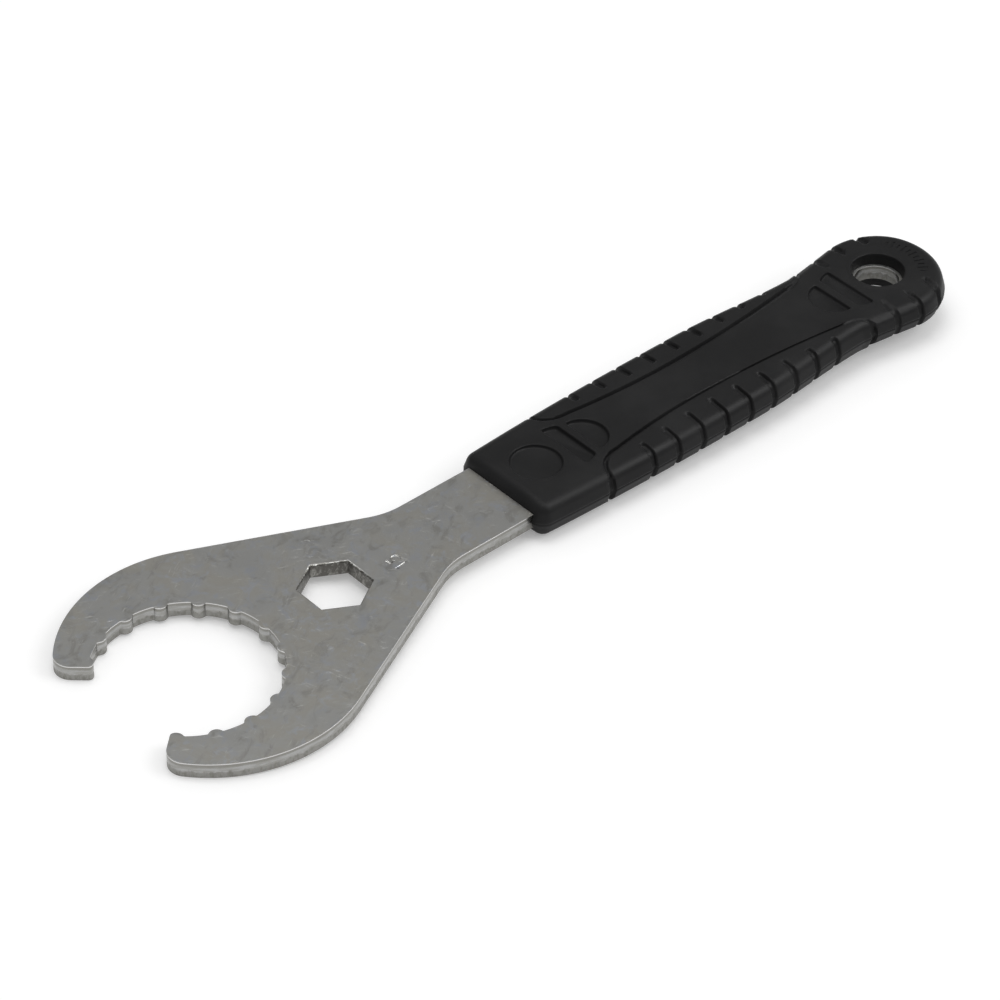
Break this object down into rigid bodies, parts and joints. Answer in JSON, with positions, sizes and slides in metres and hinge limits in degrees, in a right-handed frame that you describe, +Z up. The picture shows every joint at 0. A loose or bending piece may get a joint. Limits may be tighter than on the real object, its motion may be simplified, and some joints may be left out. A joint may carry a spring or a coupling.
{
  "type": "bottom bracket tool",
  "caption": "Flat steel hook spanner with an open lobed ring for splined bearing cups, a hexagon for nuts and a moulded grip with a hang hole.",
  "frame": {"origin": "centre of the base of the tool's bounding box, on the surface that the tool lies on", "axes": "+X from the open ring along the handle to the hang hole, +Z up; the tool lies on its jaw tips and the front of its grip, so the steel rises by 1.5 degrees towards +X"},
  "size_m": [0.2622, 0.0718, 0.0138],
  "materials": {
    "steel": "satin, with fine scratches",
    "grip": "matt black moulding"
  },
  "bodies": {
    "root": {"steel_plate": "steel", "moulded_grip": "grip"}
  },
  "joints": []
}
